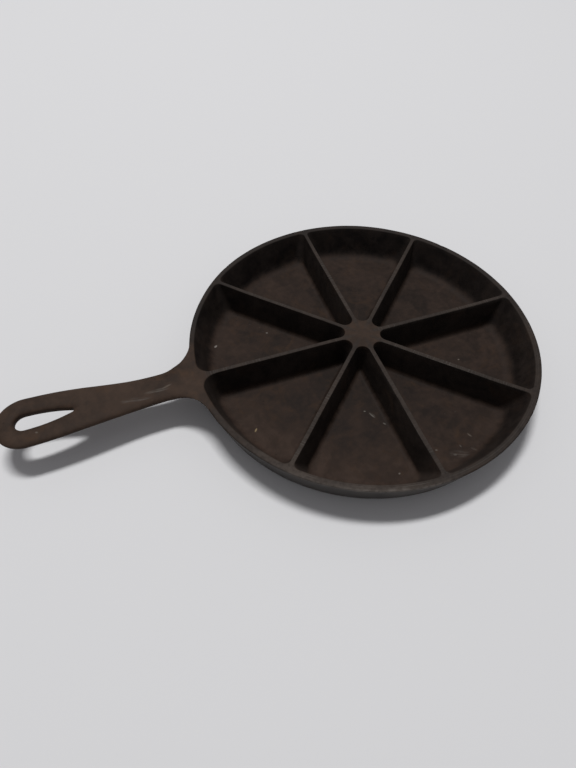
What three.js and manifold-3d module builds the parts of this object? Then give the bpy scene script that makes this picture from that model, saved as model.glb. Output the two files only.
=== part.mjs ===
// Cast iron skillet with wedge pockets, in millimetres.
// The pan's axis is Z, the table is z = 0, and the handle points along -X.
import * as THREE from 'three';
import { mergeVertices, toCreasedNormals } from 'three/addons/utils/BufferGeometryUtils.js';
import Module from 'manifold-3d';

// Pan
const rimDiameter = 235;
const panHeight = 25.5;
const floorThickness = 4.5;
const rimWidth = 4;
const outerFlareDegrees = 16.5;
const innerFlareDegrees = 24.5;
const bottomEdgeRadius = 4;
const rimEdgeRadius = 1;

// Pockets and dividers
const dividerCount = 8;
const dividerTopThickness = 2.5;
const dividerDraftDegrees = 11.5;
const hubRadius = 11.75;
const rimCornerRadius = 3.5;
const handleCornerRadius = 7.5;
const floorCornerRadius = 7;
const wallFillet = 5;
const dividerFillet = 3;
const pocketTopEdgeRadius = 0.7;

// Handle
const handleReach = 119.9;
const waistWidth = 21.2;
const gripWidth = 35.4;
const rootFlareRadius = 24;
const gripDrop = 0.8;
const waistSag = 0.6;
const waistSagLength = 82;
const rootThickness = 11;
const gripThickness = 6.8;
const rootCrownWidth = 9;
const rootCrownDepth = 3.6;
const gripCrownWidth = 6;
const gripCrownDepth = 2.4;
const edgeHeight = 0.6;

// Hanging hole, a teardrop with flared lips above and below a short throat
const holeLength = 34.7;
const holeWidth = 11.6;
const holeTipMargin = 11.4;
const holePointRadius = 1.5;
const holeSideRadius = 87;
const holeThroat = 1.2;
const upperLipWidth = 5;
const upperLipDepth = 2;
const lowerLipWidth = 4;

// How far a cutting form runs past the surface that it cuts
const cutOverrun = 1;
// How far a parting plane keeps from the curved end of a pocket
const partingMargin = 1;
// Gap that parts the root of the handle from the wall
const rootGap = 0.3;
// Facets of a floor fillet, of a rounded edge and of a hole lip
const filletSteps = 4;
const edgeSteps = 2;
const lipSteps = 4;

const wasm = await Module();
wasm.setup();

const radians = THREE.MathUtils.degToRad;
const rimRadius = rimDiameter / 2;
const dividerAngle = (2 * Math.PI) / dividerCount;
const halfWedge = dividerAngle / 2;
const tipX = rimRadius + handleReach;

function arc(centerX, centerY, radiusX, radiusY, from, to, steps) {
  const points = [];
  for (let i = 0; i <= steps; i++) {
    const angle = from + ((to - from) * i) / steps;
    points.push(new THREE.Vector2(centerX + radiusX * Math.cos(angle), centerY + radiusY * Math.sin(angle)));
  }
  return points;
}

// Skin over a stack of convex rings with equal point counts, closed at both ends.
function loft(rings) {
  const count = rings[0].length;
  const index = [];
  for (let level = 0; level < rings.length - 1; level++) {
    for (let i = 0; i < count; i++) {
      const a = level * count + i;
      const b = level * count + ((i + 1) % count);
      index.push(a, b, b + count, a, b + count, a + count);
    }
  }
  const last = (rings.length - 1) * count;
  for (let i = 1; i < count - 1; i++) {
    index.push(0, i + 1, i, last, last + i, last + i + 1);
  }
  const geometry = new THREE.BufferGeometry().setFromPoints(rings.flat());
  geometry.setIndex(index);
  return geometry;
}

// Closed solid of a geometry, for joining and cutting.
function solid(geometry) {
  const bare = new THREE.BufferGeometry();
  bare.setAttribute('position', geometry.getAttribute('position'));
  bare.setIndex(geometry.getIndex());
  const welded = mergeVertices(bare, 1e-4);
  const corners = welded.getIndex().array;
  const triangles = [];
  for (let i = 0; i < corners.length; i += 3) {
    const [a, b, c] = [corners[i], corners[i + 1], corners[i + 2]];
    if (a !== b && b !== c && c !== a) triangles.push(a, b, c);
  }
  const mesh = new wasm.Mesh({
    numProp: 3,
    vertProperties: Float32Array.from(welded.getAttribute('position').array),
    triVerts: Uint32Array.from(triangles),
  });
  return new wasm.Manifold(mesh);
}

function geometryOf(body) {
  const mesh = body.getMesh();
  const geometry = new THREE.BufferGeometry();
  geometry.setAttribute('position', new THREE.BufferAttribute(Float32Array.from(mesh.vertProperties), 3));
  geometry.setIndex(new THREE.BufferAttribute(Uint32Array.from(mesh.triVerts), 1));
  return geometry;
}

// Profile of points (radius, height) turned about Z.
function turned(profile) {
  return new THREE.LatheGeometry(profile, 96).rotateX(Math.PI / 2);
}

// Setback of a drafted pocket face from its line at the rim, at height z.
// The face is rounded over into the rim plane at its top and filleted into the floor at its foot.
function setback(z, draft, fillet) {
  const tangent = Math.tan(Math.PI / 4 - draft / 2);
  const edge = pocketTopEdgeRadius;
  const aboveEdge = z - (panHeight - edge);
  if (aboveEdge > edge * Math.sin(draft)) {
    return Math.sqrt(Math.max(0, edge ** 2 - aboveEdge ** 2)) - edge * tangent;
  }
  const belowFillet = floorThickness + fillet - z;
  if (belowFillet > fillet * Math.sin(draft)) {
    const foot = (panHeight - floorThickness) * Math.tan(draft) + fillet * tangent;
    return foot - Math.sqrt(Math.max(0, fillet ** 2 - belowFillet ** 2));
  }
  return (panHeight - z) * Math.tan(draft);
}

const dividerDraft = radians(dividerDraftDegrees);
const innerFlare = radians(innerFlareDegrees);
const dividerHalf = (z) => dividerTopThickness / 2 + setback(z, dividerDraft, dividerFillet);
const pocketOuter = (z) => rimRadius - rimWidth - setback(z, innerFlare, wallFillet);

// Heights at which a fillet from the floor to a drafted face changes slope.
function filletHeights(draft, fillet) {
  const heights = [];
  for (let i = 0; i <= filletSteps; i++) {
    const angle = THREE.MathUtils.lerp(Math.PI / 2, draft, i / filletSteps);
    heights.push(floorThickness + fillet * (1 - Math.sin(angle)));
  }
  return heights;
}

// Heights at which any pocket face changes slope, from the floor up.
function faceHeights() {
  const dividerFoot = filletHeights(dividerDraft, dividerFillet);
  const wallFoot = filletHeights(innerFlare, wallFillet).slice(1);
  const heights = [...dividerFoot, ...wallFoot].sort((a, b) => a - b);
  for (let i = 0; i <= edgeSteps; i++) {
    const angle = THREE.MathUtils.lerp(dividerDraft, Math.PI / 2, i / edgeSteps);
    heights.push(panHeight - pocketTopEdgeRadius * (1 - Math.sin(angle)));
  }
  return heights;
}

const pocketHeights = faceHeights();

// Radius of the rounded pocket tip that leaves the hub its size at the rim.
const tipRadiusAtRim =
  (hubRadius * Math.sin(halfWedge) - dividerTopThickness / 2) / (1 - Math.sin(halfWedge));

// Rounded corner of a pocket between a divider and the wall at height z.
function pocketCorner(z, radiusAtRim) {
  const half = dividerHalf(z);
  const depth = (panHeight - z) / (panHeight - floorThickness);
  const radius = THREE.MathUtils.lerp(radiusAtRim, floorCornerRadius, depth);
  const distance = pocketOuter(z) - radius;
  const across = half + radius;
  const along = Math.sqrt(distance ** 2 - across ** 2);
  return { radius, distance, along, across, angle: Math.atan2(across, along) };
}

// Rounded tip of a pocket at the hub at height z. It tightens as the pocket narrows.
function pocketTip(z) {
  const half = dividerHalf(z);
  const radius = Math.max(tipRadiusAtRim - half + dividerTopThickness / 2, 1);
  return { radius, distance: (half + radius) / Math.sin(halfWedge) };
}

// Outline of the pocket between the dividers at 0 and at dividerAngle, convex, counter-clockwise.
function pocketOutline(z, nearRadius, farRadius) {
  const near = pocketCorner(z, nearRadius);
  const far = pocketCorner(z, farRadius);
  const tip = pocketTip(z);
  const outer = pocketOuter(z);
  const farAngle = dividerAngle - far.angle;
  const farX = far.distance * Math.cos(farAngle);
  const farY = far.distance * Math.sin(farAngle);
  const tipCenterX = tip.distance * Math.cos(halfWedge);
  const tipCenterY = tip.distance * Math.sin(halfWedge);
  return [
    ...arc(near.along, near.across, near.radius, near.radius, -Math.PI / 2, near.angle, 4),
    ...arc(0, 0, outer, outer, near.angle, farAngle, 8).slice(1, -1),
    ...arc(farX, farY, far.radius, far.radius, farAngle, dividerAngle + Math.PI / 2, 4),
    ...arc(tipCenterX, tipCenterY, tip.radius, tip.radius, dividerAngle + Math.PI / 2, 1.5 * Math.PI, 6),
  ];
}

// Space of one pocket, run past the floor and past the rim.
function pocketSpace(turn, nearRadius, farRadius) {
  const heights = [floorThickness - cutOverrun, ...pocketHeights, panHeight + cutOverrun];
  const rings = heights.map((z) => {
    const level = THREE.MathUtils.clamp(z, floorThickness, panHeight);
    return pocketOutline(level, nearRadius, farRadius).map((point) => new THREE.Vector3(point.x, point.y, z));
  });
  return solid(loft(rings).rotateZ(turn));
}

// The two corners on either side of the handle have a larger radius than the others.
const pockets = [];
for (let i = 0; i < dividerCount; i++) {
  const nearRadius = i === dividerCount / 2 ? handleCornerRadius : rimCornerRadius;
  const farRadius = i === dividerCount / 2 - 1 ? handleCornerRadius : rimCornerRadius;
  pockets.push(pocketSpace(i * dividerAngle, nearRadius, farRadius));
}

// Parting planes across each divider: one near the hub, one near the wall.
function straightReach(z) {
  const corners = [rimCornerRadius, handleCornerRadius].map((radius) => pocketCorner(z, radius).along);
  return Math.min(...corners, pocketOuter(z) * Math.cos(halfWedge));
}
const tipReaches = pocketHeights.map((z) => pocketTip(z).distance * Math.cos(halfWedge));
const hubParting = Math.max(...tipReaches) + partingMargin;
const wallParting = Math.min(...pocketHeights.map(straightReach)) - partingMargin;

// Upright prism with one flat side square to each divider.
function partingPrism(apothem, bottom, top) {
  const radius = apothem / Math.cos(halfWedge);
  const prism = new THREE.CylinderGeometry(radius, radius, top - bottom, dividerCount);
  return prism
    .rotateX(Math.PI / 2)
    .rotateZ(halfWedge - Math.PI / 2)
    .translate(0, 0, (bottom + top) / 2);
}

// Outside of the pan: a flared face that is tangent to the rounded edge of the rim.
const outerFlare = radians(outerFlareDegrees);
function outerRadius(z) {
  const aboveEdge = z - (panHeight - rimEdgeRadius);
  const outward = (rimEdgeRadius + aboveEdge * Math.sin(outerFlare)) / Math.cos(outerFlare);
  return rimRadius - rimEdgeRadius + outward;
}

function floorGeometry() {
  const radius = Math.min(bottomEdgeRadius, floorThickness);
  const edgeCenter = outerRadius(0) - radius * Math.tan(Math.PI / 4 - outerFlare / 2);
  const profile = [
    new THREE.Vector2(0, 0),
    ...arc(edgeCenter, radius, radius, radius, -Math.PI / 2, -outerFlare, 4),
    new THREE.Vector2(outerRadius(floorThickness), floorThickness),
    new THREE.Vector2(0, floorThickness),
  ];
  return turned(profile);
}

// Handle outline: flare out of the rim, waist, cosine swell to the grip, round tip.
const waistHalf = waistWidth / 2;
const gripHalf = gripWidth / 2;
const flareCenterX = Math.sqrt((rimRadius + rootFlareRadius) ** 2 - (waistHalf + rootFlareRadius) ** 2);
const flareEndX = (flareCenterX * rimRadius) / (rimRadius + rootFlareRadius);
const gripX = tipX - gripHalf;

function handleHalfWidth(x) {
  if (x < flareCenterX) {
    const along = flareCenterX - Math.max(x, flareEndX);
    return waistHalf + rootFlareRadius - Math.sqrt(rootFlareRadius ** 2 - along ** 2);
  }
  if (x > gripX) return Math.sqrt(Math.max(0, gripHalf ** 2 - (x - gripX) ** 2));
  const swell = (1 - Math.cos((Math.PI * (x - flareCenterX)) / (gripX - flareCenterX))) / 2;
  return waistHalf + (gripHalf - waistHalf) * swell;
}

// Height of the handle's top line: it leaves the rim level, sags along the waist and runs level again.
function handleTop(x) {
  const settled = THREE.MathUtils.smoothstep(x, rimRadius - rimWidth, flareCenterX + rootFlareRadius);
  const along = THREE.MathUtils.clamp((x - rimRadius) / waistSagLength, 0, 1);
  const sag = (1 - Math.cos(2 * Math.PI * along)) / 2;
  return panHeight - gripDrop * settled - waistSag * sag;
}

// The handle tapers in thickness from the end of its flare to the lip of the hanging hole.
const lipEndX = tipX - holeTipMargin - holeLength - upperLipWidth;

// Cross-section of the handle at distance x from the axis: crowned top, low upright edges and a full
// underside. The crown and the underside close in at the round tip.
function handleSection(x) {
  const half = handleHalfWidth(x);
  const share = THREE.MathUtils.clamp((x - flareCenterX) / (lipEndX - flareCenterX), 0, 1);
  const crownWidth = THREE.MathUtils.lerp(rootCrownWidth, gripCrownWidth, share);
  const crownDepth = THREE.MathUtils.lerp(rootCrownDepth, gripCrownDepth, share);
  const thickness = THREE.MathUtils.lerp(rootThickness, gripThickness, share);
  const edgeTop = handleTop(x) - crownDepth;
  const edgeBottom = edgeTop - edgeHeight;
  const closing = x > gripX ? half / gripHalf : 1;
  const belly = Math.max((thickness - crownDepth - edgeHeight) * closing, 0.2);
  const inset = Math.max(x - (tipX - crownWidth), 0) / crownWidth;
  const crown = Math.max(crownDepth * Math.sqrt(1 - inset ** 2), 0.1);
  const across = Math.min(crownWidth, half * 0.9);
  const underside = [];
  for (let i = 0; i <= 10; i++) {
    const side = i / 5 - 1;
    underside.push(new THREE.Vector2(half * side, edgeBottom - belly * (1 - side ** 2)));
  }
  const outline = [
    ...arc(half - across, edgeTop, across, crown, 0, Math.PI / 2, 5),
    ...arc(across - half, edgeTop, across, crown, Math.PI / 2, Math.PI, 5),
    ...underside,
  ];
  return outline.map((point) => new THREE.Vector3(-x, -point.x, point.y));
}

// Handle from inside the wall, along the flare, the swell and the round tip.
function handleGeometry() {
  const flareAngle = Math.asin((flareCenterX - flareEndX) / rootFlareRadius);
  const stations = [rimRadius - rimWidth];
  for (let i = 6; i > 0; i--) {
    stations.push(flareCenterX - rootFlareRadius * Math.sin((flareAngle * i) / 6));
  }
  for (let i = 0; i < 10; i++) {
    stations.push(THREE.MathUtils.lerp(flareCenterX, gripX, i / 10));
  }
  for (const angle of [0, 18, 36, 52, 65, 76, 84]) {
    stations.push(gripX + gripHalf * Math.sin(radians(angle)));
  }
  const whole = solid(loft(stations.map(handleSection)));
  const pan = solid(turned(panProfile(rootGap)));
  return geometryOf(whole.subtract(pan).subtract(hangingHole()));
}

// Teardrop outline grown by an outset, round toward the tip of the handle, its point toward the pan.
// Its bowed sides are arcs tangent to the round end and to the point.
const roundRadius = holeWidth / 2;
const roundX = tipX - holeTipMargin - roundRadius;
const pointX = tipX - holeTipMargin - holeLength + holePointRadius;

function teardrop(outset) {
  const span = roundX - pointX;
  const toRound = holeSideRadius - roundRadius;
  const toPoint = holeSideRadius - holePointRadius;
  const along = (toRound ** 2 - toPoint ** 2 + span ** 2) / (2 * span);
  const below = Math.sqrt(toRound ** 2 - along ** 2);
  const roundAngle = Math.atan2(below, -along);
  const pointAngle = Math.atan2(below, span - along);
  const round = roundRadius + outset;
  const point = holePointRadius + outset;
  const side = holeSideRadius + outset;
  const sideX = along - roundX;
  return [
    ...arc(-roundX, 0, round, round, roundAngle, 2 * Math.PI - roundAngle, 14),
    ...arc(sideX, below, side, side, -roundAngle, -pointAngle, 5).slice(1, -1),
    ...arc(-pointX, 0, point, point, -pointAngle, pointAngle, 4),
    ...arc(sideX, -below, side, side, pointAngle, roundAngle, 5).slice(1, -1),
  ];
}

// Space of the hanging hole, flared by an elliptical lip above and below its throat.
function hangingHole() {
  const gripTop = panHeight - gripDrop;
  const throatTop = gripTop - upperLipDepth;
  const throatBottom = throatTop - holeThroat;
  const lowerLipDepth = throatBottom - (gripTop - gripThickness);
  const levels = [
    new THREE.Vector2(lowerLipWidth, gripTop - gripThickness - cutOverrun),
    ...arc(lowerLipWidth, throatBottom, lowerLipWidth, lowerLipDepth, 1.5 * Math.PI, Math.PI, lipSteps),
    ...arc(upperLipWidth, throatTop, upperLipWidth, upperLipDepth, Math.PI, Math.PI / 2, lipSteps),
    new THREE.Vector2(upperLipWidth, gripTop + cutOverrun),
  ];
  const rings = levels.map((level) => {
    return teardrop(level.x).map((point) => new THREE.Vector3(point.x, point.y, level.y));
  });
  return solid(loft(rings));
}

function cutAll(body, cutters) {
  return cutters.reduce((rest, cutter) => rest.subtract(cutter), body);
}

// Outside of the pan from the floor to the rim as a profile, grown by a gap.
function panProfile(gap) {
  const edge = rimEdgeRadius + gap;
  const edgeX = rimRadius - rimEdgeRadius;
  const edgeZ = panHeight - rimEdgeRadius;
  return [
    new THREE.Vector2(0, floorThickness),
    new THREE.Vector2(outerRadius(floorThickness) + gap / Math.cos(outerFlare), floorThickness),
    ...arc(edgeX, edgeZ, edge, edge, -outerFlare, Math.PI / 2, 3),
    new THREE.Vector2(0, panHeight + gap),
  ];
}

function wallGeometry() {
  const inside = partingPrism(wallParting, floorThickness - cutOverrun, panHeight + cutOverrun);
  return geometryOf(cutAll(solid(turned(panProfile(0))), [solid(inside), ...pockets]));
}

function hubGeometry() {
  const blank = solid(partingPrism(hubParting, floorThickness, panHeight));
  return geometryOf(cutAll(blank, pockets));
}

// Straight part of a divider along X, from the hub parting to the wall parting.
function dividerGeometry() {
  const rising = pocketHeights.map((z) => new THREE.Vector2(dividerHalf(z), z));
  const falling = pocketHeights.map((z) => new THREE.Vector2(-dividerHalf(z), z)).reverse();
  const section = new THREE.Shape([...rising, ...falling]);
  const bar = new THREE.ExtrudeGeometry(section, { depth: wallParting - hubParting, bevelEnabled: false });
  return bar.rotateX(Math.PI / 2).rotateZ(Math.PI / 2).translate(hubParting, 0, 0);
}

const skillet = new THREE.Group();
skillet.name = 'sectioned_skillet';

function addPiece(name, geometry, color, roughness) {
  const material = new THREE.MeshStandardMaterial({ color, roughness, metalness: 0.35 });
  const piece = new THREE.Mesh(toCreasedNormals(geometry, radians(30)), material);
  piece.name = name;
  skillet.add(piece);
  return piece;
}

addPiece('pan_floor', floorGeometry(), 0x302925, 0.6);
addPiece('side_wall', wallGeometry(), 0x38322e, 0.55);
addPiece('center_hub', hubGeometry(), 0x3b312c, 0.5);
for (let i = 0; i < dividerCount; i++) {
  const divider = addPiece(`divider_${i + 1}`, dividerGeometry(), 0x3b312c, 0.5);
  divider.rotation.z = Math.PI - i * dividerAngle;
}
addPiece('handle', handleGeometry(), 0x3a312c, 0.55);

export default skillet;
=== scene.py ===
from math import asin, atan2, cos, degrees, hypot, pi, radians, sin, sqrt, tan

import bmesh
import bpy
from mathutils import Matrix, Vector, noise


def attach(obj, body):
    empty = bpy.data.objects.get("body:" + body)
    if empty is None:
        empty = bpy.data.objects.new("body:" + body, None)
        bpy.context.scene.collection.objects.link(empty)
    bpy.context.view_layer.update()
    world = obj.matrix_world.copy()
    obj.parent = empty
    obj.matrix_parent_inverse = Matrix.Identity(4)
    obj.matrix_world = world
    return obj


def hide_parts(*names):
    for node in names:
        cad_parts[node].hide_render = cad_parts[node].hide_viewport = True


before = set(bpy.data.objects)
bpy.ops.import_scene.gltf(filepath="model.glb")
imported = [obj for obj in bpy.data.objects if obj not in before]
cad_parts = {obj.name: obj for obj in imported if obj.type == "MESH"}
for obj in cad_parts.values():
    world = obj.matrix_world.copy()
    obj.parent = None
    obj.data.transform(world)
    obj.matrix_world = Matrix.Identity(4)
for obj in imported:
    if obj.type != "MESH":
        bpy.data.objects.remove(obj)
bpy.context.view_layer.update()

scene = bpy.context.scene
scene.view_settings.view_transform = "Standard"

# the pan's lengths are millimetres in the CAD frame: z = 0 is the table, the handle points along -x;
# the table, the lamp and the camera are placed in metres
mm = 0.001

pan = {
    "rimRadius": 117.5,
    "height": 25.5,
    "floor": 4.5,
    "rimWidth": 4.0,
    "outerFlare": radians(16.5),
    "innerFlare": radians(22.5),
    "wallFillet": 8.0,
    "bottomEdge": 4.0,
    "rimEdge": 1.0,
}

pocket = {
    "count": 8,
    "ribTop": 2.5,
    "ribDraft": radians(11.5),
    "ribFillet": 3.0,
    "hubRadius": 11.75,
    "rimCorner": 3.5,
    "handleCorner": 7.5,  # the two corners beside the handle, the near one rounder
    "nearCorner": 10.5,
    "floorCorner": 7.0,
    "ribEdge": 0.4,  # rounding of the top edges
    "wallEdge": 1.1,
    "topLand": 0.22,  # narrow strip of the flat top along each edge
    "partingMargin": 1.0,
    "smallestTip": 1.0,
}

# unevenness of a hand-moulded casting: ribs a touch lower than the rim, a rim a touch out of round,
# slow waves, small lumps and a few knocks
casting = {
    "seed": 5,
    "ribDrop": 0.8,
    "ribDropFrom": (113.0, 104.0),  # distance from the axis over which the tops fall
    "ribDropHeight": (15.0, 24.5),  # height over which the fall sets in
    "outOfRound": [
        {"around": 18, "reach": 0.55, "start": (80.0, 112.0), "depth": 0.9},
        {"around": 155, "reach": 0.84, "start": (113.0, 116.0), "depth": 0.7},
    ],
    "outOfRoundEnd": (150.0, 120.0),  # it fades along the handle
    "waveSize": 38.0,
    "waveDepth": 0.16,
    "lumpSize": 7.5,
    "lumpDepth": 0.05,
    "lumpOffset": (31.7, 4.2, 9.1),
    "flatBase": (0.0, 4.0),  # the underside stays flat on the table
    "knocks": [
        {"at": (-32.0, -110.8, 25.6), "size": 3.2, "depth": 0.55},
        {"at": (-25.5, -113.6, 25.2), "size": 2.4, "depth": 0.45},
        {"at": (58.0, -100.6, 25.4), "size": 2.6, "depth": 0.35},
        {"at": (96.0, 65.0, 25.4), "size": 2.8, "depth": 0.35},
        {"at": (-70.0, 93.0, 25.3), "size": 2.2, "depth": 0.30},
        {"at": (-229.0, 9.0, 25.0), "size": 3.0, "depth": 0.30},
    ],
}

noise.seed_set(casting["seed"])  # the noise starts from the clock otherwise


def smooth(low, high, value):
    t = min(max((value - low) / (high - low), 0.0), 1.0)
    return t * t * (3 - 2 * t)


def topAt(r):
    return pan["height"] - casting["ribDrop"] * smooth(*casting["ribDropFrom"], r)


def castPoint(p):
    p = Vector(p)
    r = hypot(p.x, p.y)
    lumpSpot = p / casting["lumpSize"] + Vector(casting["lumpOffset"])
    shift = noise.noise_vector(p / casting["waveSize"]) * casting["waveDepth"]
    shift += noise.noise_vector(lumpSpot) * casting["lumpDepth"]
    shift.z *= smooth(*casting["flatBase"], p.z)
    shift.z -= (pan["height"] - topAt(r)) * smooth(*casting["ribDropHeight"], p.z)
    for flat in casting["outOfRound"]:
        facing = cos(atan2(p.y, p.x) - radians(flat["around"]))
        pulledIn = flat["depth"] * smooth(flat["reach"], 1.0, facing) * smooth(*flat["start"], r)
        pulledIn *= smooth(*casting["outOfRoundEnd"], r)
        shift -= Vector((p.x, p.y, 0)) * (pulledIn / max(r, 1.0))
    for knock in casting["knocks"]:
        away = (p - Vector(knock["at"])).length / knock["size"]
        if away < 1:
            shift.z -= knock["depth"] * (1 - away * away) ** 2
    return p + shift


# spans over which the zones of the surface set in, in millimetres or in degrees around the pan
zoneSpan = {
    "top": (-0.75, -0.1),  # height against the flat tops
    "ribEdge": (-0.06, -0.2),
    "hubTop": (-1.6, -0.5),
    "hub": (15.0, 11.5),  # distance from the axis
    "floorRing": (70.0, 94.0),
    "innerWall": (97.0, 103.0),
    "rim": (107.0, 112.0),
    "face": (-2.6, -0.8),  # distance from the outside of the wall
    "rootFace": (-2.6, -1.4),
    "innerFace": (-1.6, -2.8),
    "rimEdge": (23.0, 24.0),  # height
    "rimEdgeEnd": (25.62, 25.3),
    "outsideTop": (25.2, 24.0),
    "underside": (1.5, 0.5),
    "rootHeight": (8.0, 21.0),
    "low": (3.0, 0.5),  # height above the floor
    "foot": (4.5, 1.0),
    "rootStart": (-104.0, -112.0),  # along x
    "handle": (-113.0, -121.0),
    "leftFloor": (50.0, -30.0),
    "leftWall": (60.0, -20.0),
    "far": (-40.0, 40.0),  # along y
    "farWall": (20.0, 75.0),
    "nearSide": (20.0, -50.0),
    "rootTop": (34.0, 22.0),  # distance from the handle's middle line
    "rootSide": (42.0, 12.0),
    "nearSideStart": (192.0, 206.0),  # degrees around the pan
    "nearLeft": (200.0, 224.0),
    "nearLeftEnd": (268.0, 258.0),
    # where the painted highlight on the rim's outer rounding sets in and where it ends
    "wornEdgeHighlight": (208.0, 250.0),
    "wornEdgeHighlightEnd": (278.0, 263.0),
    "front": (250.0, 262.0),
    "frontEnd": (292.0, 280.0),
    "ribWornHighlight": (0.2, 1.0),  # cosine of the angle to the rib whose edge gets the strongest painted highlight
}

# how strong each zone is
zoneAmount = {
    "ribTop": 0.70,
    "ribEdge": 0.35,
    "nearLeftRim": 0.45,
    "otherRim": 0.22,
    "farRim": 0.40,
    "farRimPaintedSheen": 0.14,
    # painted highlight on worn rib edges, strongest on the edges that face the angle below
    "ribWornHighlight": 1.5,
    "ribWornHighlightAround": 315,  # degrees
    # paler oil toward the outer edge of the floors; painted light on the near inner walls, painted
    # shade on the far ones, painted reflection on the outside at the front
    "floorRing": 0.28,
    "nearFloorRing": 0.42,
    "nearWall": 0.85,
    "farWall": 0.3,
    "front": 0.6,
}


def span(key, value):
    return smooth(*zoneSpan[key], value)


# zones at a point: rubbed tops, worn edges with a painted highlight, places that hands touch, the
# outside, the foot of a pocket, and paler oil on the floors together with painted light and shade on
# the walls
def zonesAt(p):
    x, y, z = p
    r = hypot(x, y)
    around = degrees(atan2(y, x)) % 360
    rise = z - topAt(r)
    beyond = r - outerRadius(z)
    aboveFloor = z - pan["floor"]
    amount = zoneAmount
    top = span("top", rise)
    rim = span("rim", r)
    far = span("far", y)
    face = span("face", beyond)
    low = span("low", aboveFloor)
    nearLeft = span("nearLeft", around) * span("nearLeftEnd", around)
    nearSide = span("nearSide", y) * span("nearSideStart", around)
    ribEdge = span("ribEdge", rise) * (1 - rim)

    hub = span("hub", r) * span("hubTop", rise)
    rootSide = span("rootFace", beyond) * span("rootHeight", z) * span("rootSide", abs(y))
    root = span("rootStart", x) * max(top * span("rootTop", abs(y)), rootSide)
    hand = max(span("handle", x), root, hub)

    # the near left rim is rubbed most, the far rim is still black
    rimRub = amount["nearLeftRim"] * nearLeft - amount["otherRim"] * (1 - nearLeft)
    rimRub -= amount["farRim"] * far
    wear = top * (amount["ribTop"] + amount["ribEdge"] * ribEdge + rim * rimRub)

    # worn edges with a painted highlight: the rim's outer rounding at the near left and front, and the
    # rib edges that face one way
    rimEdge = span("rimEdge", z) * span("rimEdgeEnd", z)
    wornEdgeHighlight = face * rimEdge * span("wornEdgeHighlight", around) * span("wornEdgeHighlightEnd", around)
    facing = cos(radians(around - amount["ribWornHighlightAround"]))
    wornEdgeHighlight += amount["ribWornHighlight"] * top * ribEdge * span("ribWornHighlight", facing)

    # painted reflection of the sky: the far rim's top takes the outside's grey
    farRim = amount["farRimPaintedSheen"] * top * rim * far
    # outside: lighter grey, partly a painted reflection of the table
    outside = max(face * span("outsideTop", z), span("underside", z), farRim) * (1 - hand)

    # paler oil toward the outer edge of the floors, more in the near left pockets; painted light on
    # the near inner walls, painted shade on the far inner walls and a painted reflection of the table
    # on the outside at the front
    floorRing = amount["floorRing"] + amount["nearFloorRing"] * nearSide * span("leftFloor", x)
    innerWall = amount["nearWall"] * nearSide * span("leftWall", x)
    innerWall -= amount["farWall"] * span("farWall", y)
    inner = span("innerWall", r) * span("innerFace", beyond) * (1 - top) * (1 - low)
    front = face * span("front", around) * span("frontEnd", around)
    paleOilAndPaintedLight = span("floorRing", r) * low * floorRing + inner * innerWall + amount["front"] * front
    return {
        "wear": wear * (1 - hand),
        "wornEdgeHighlight": wornEdgeHighlight * (1 - hand),
        "hand": hand,
        "outside": outside,
        "foot": span("foot", aboveFloor) * (1 - max(face, outside)),
        "paleOilAndPaintedLight": paleOilAndPaintedLight,
    }


# closer than this, points become one, slivers go and heights count as the same
weld = {"merge": 0.004, "sliver": 0.002, "level": 0.0001}


def addPiece(name, cadNode, points, faces, material, creases=40):
    mesh = bpy.data.meshes.new(name)
    mesh.from_pydata([castPoint(p) * mm for p in points], [], faces)
    bm = bmesh.new()
    bm.from_mesh(mesh)
    bmesh.ops.remove_doubles(bm, verts=bm.verts, dist=weld["merge"] * mm)
    bmesh.ops.dissolve_degenerate(bm, edges=bm.edges, dist=weld["sliver"] * mm)
    bmesh.ops.recalc_face_normals(bm, faces=bm.faces)
    loose = sum(1 for edge in bm.edges if not edge.is_manifold)
    bm.to_mesh(mesh)
    bm.free()
    mesh.polygons.foreach_set("use_smooth", [True] * len(mesh.polygons))
    mesh.set_sharp_from_angle(angle=radians(creases))
    zones = [zonesAt(v.co / mm) for v in mesh.vertices]
    for key in zones[0]:
        zone = mesh.attributes.new(key, "FLOAT", "POINT")
        zone.data.foreach_set("value", [z[key] for z in zones])
    piece = bpy.data.objects.new(name, mesh)
    scene.collection.objects.link(piece)
    mesh.materials.append(material)
    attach(piece, "root")
    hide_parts(cadNode)
    print("piece", name, len(mesh.polygons), "faces, open edges", loose)
    return piece


def arc(centerX, centerY, radius, start, end, steps):
    angles = [start + (end - start) * i / steps for i in range(steps + 1)]
    return [(centerX + radius * cos(a), centerY + radius * sin(a)) for a in angles]


def turn(point, angle):
    x, y = point
    return (x * cos(angle) - y * sin(angle), x * sin(angle) + y * cos(angle))


# quads between rings of equal length
def skin(ringCount, pointCount, first=0):
    faces = []
    for ring in range(ringCount - 1):
        for i in range(pointCount):
            a = first + ring * pointCount + i
            b = first + ring * pointCount + (i + 1) % pointCount
            faces.append((a, b, b + pointCount, a + pointCount))
    return faces


# points of a profile of (radius, height) turned around the pan's axis
def spun(profile, around):
    angles = [2 * pi * i / around for i in range(around)]
    return [(r * cos(a), r * sin(a), z) for r, z in profile for a in angles]


# closes a stack of rings with a fan under the first ring and one over the last
def capRings(points, faces, count, lowZ, highZ):
    last = len(points) - count
    points += [(0, 0, lowZ), (0, 0, highZ)]
    low, high = len(points) - 2, len(points) - 1
    for i in range(count):
        j = (i + 1) % count
        faces += [(low, j, i), (high, last + i, last + j)]


wedge = 2 * pi / pocket["count"]


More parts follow.
